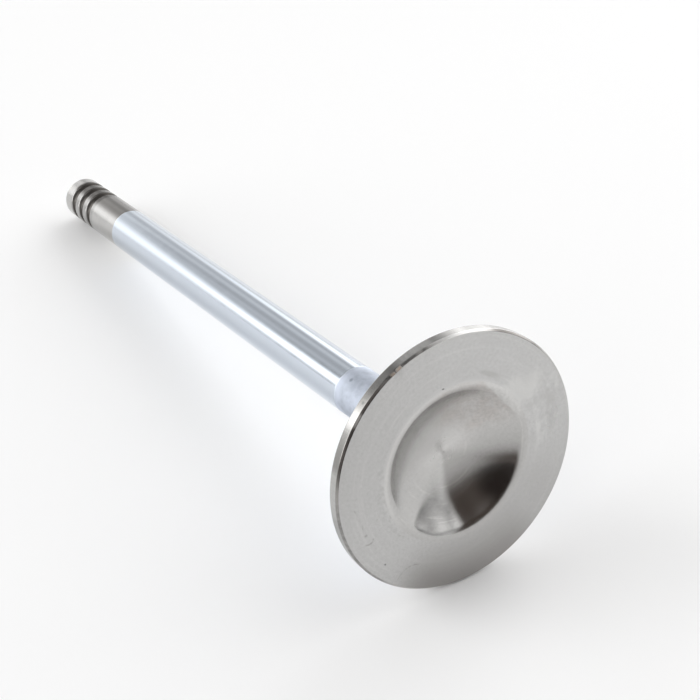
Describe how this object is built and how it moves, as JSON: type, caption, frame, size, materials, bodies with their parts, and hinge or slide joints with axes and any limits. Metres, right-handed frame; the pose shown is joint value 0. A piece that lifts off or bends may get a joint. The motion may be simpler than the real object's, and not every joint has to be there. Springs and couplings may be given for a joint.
{
  "type": "engine valve",
  "caption": "Poppet valve for a piston engine: dished head with ground seat, tulip neck, hard chromed stem and round keeper grooves at the tip.",
  "frame": {"origin": "centre of the head's flat face, on the stem's axis", "axes": "+Z along the stem from the head to the tip; the part is round about Z, so X and Y are free"},
  "size_m": [0.04, 0.04, 0.1315],
  "materials": {
    "valve_steel": "ground and turned steel, with hard chrome on the running length of the stem"
  },
  "bodies": {
    "root": {"valve": "valve_steel"}
  },
  "joints": []
}
